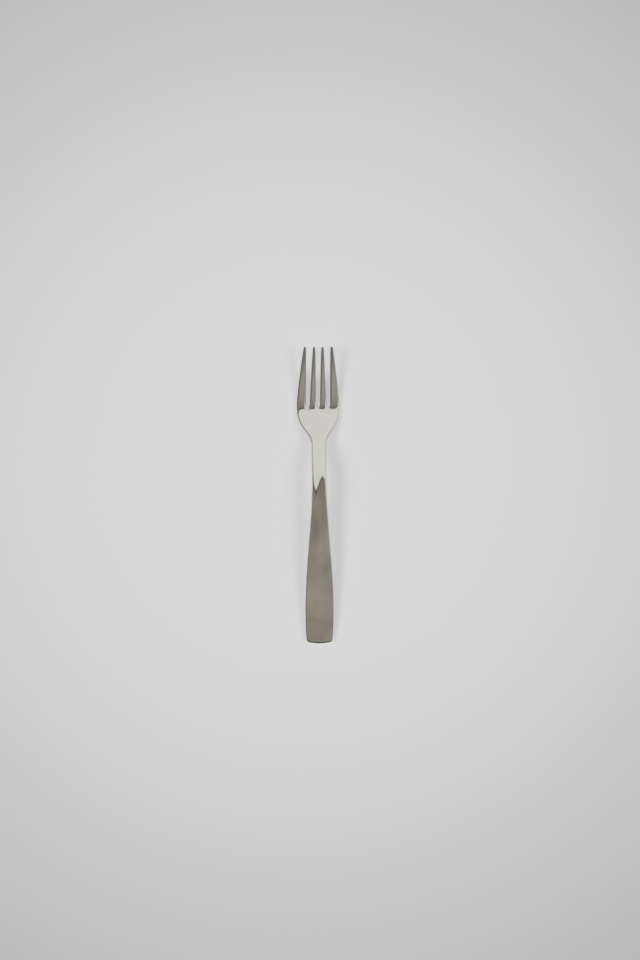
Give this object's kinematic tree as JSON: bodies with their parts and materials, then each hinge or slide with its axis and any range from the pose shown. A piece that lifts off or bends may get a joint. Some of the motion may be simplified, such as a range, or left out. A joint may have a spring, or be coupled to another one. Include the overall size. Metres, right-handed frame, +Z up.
{
  "type": "dessert fork",
  "caption": "Plain polished steel dessert fork with slim tapered tines, rounded shoulders and a long handle that widens to a softly squared butt, lying tines up.",
  "frame": {"origin": "on the table, under the middle of the fork", "axes": "+Y along the fork from the butt to the tips of the tines, +X across the fork to the right, +Z up"},
  "size_m": [0.0246, 0.1701, 0.0118],
  "materials": {
    "polished_steel": "mirror-polished stainless steel"
  },
  "bodies": {
    "root": {"fork": "polished_steel"}
  },
  "joints": []
}
